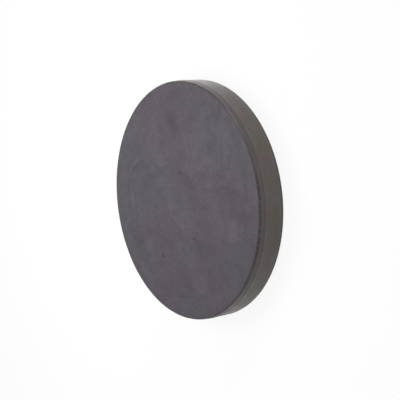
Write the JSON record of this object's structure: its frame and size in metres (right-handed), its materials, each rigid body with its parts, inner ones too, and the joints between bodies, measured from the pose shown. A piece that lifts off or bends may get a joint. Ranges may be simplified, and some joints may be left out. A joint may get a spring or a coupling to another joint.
{
  "type": "rubber-coated pot magnet",
  "caption": "Flat round pot magnet: disc magnets on a steel disc, all moulded into soft rubber, with a flush internal thread in the back.",
  "frame": {"origin": "centre of the back face, which is the middle of the underside", "axes": "+Z along the disc's axis, from the back to the holding face; +X through the first magnet of the ring"},
  "size_m": [0.066, 0.066, 0.0085],
  "materials": {
    "rubber": "matt moulded rubber, dark purplish grey, lightly mottled",
    "steel": "pressed mild steel, zinc plated",
    "plated_steel": "turned steel, zinc plated",
    "nickel_plating": "nickel plated magnet"
  },
  "bodies": {
    "root": {"rubber_jacket": "rubber", "steel_disc": "steel", "thread_bush": "plated_steel", "middle_magnet": "nickel_plating", "ring_magnet_1": "nickel_plating", "ring_magnet_2": "nickel_plating", "ring_magnet_3": "nickel_plating", "ring_magnet_4": "nickel_plating", "ring_magnet_5": "nickel_plating", "ring_magnet_6": "nickel_plating"}
  },
  "joints": []
}
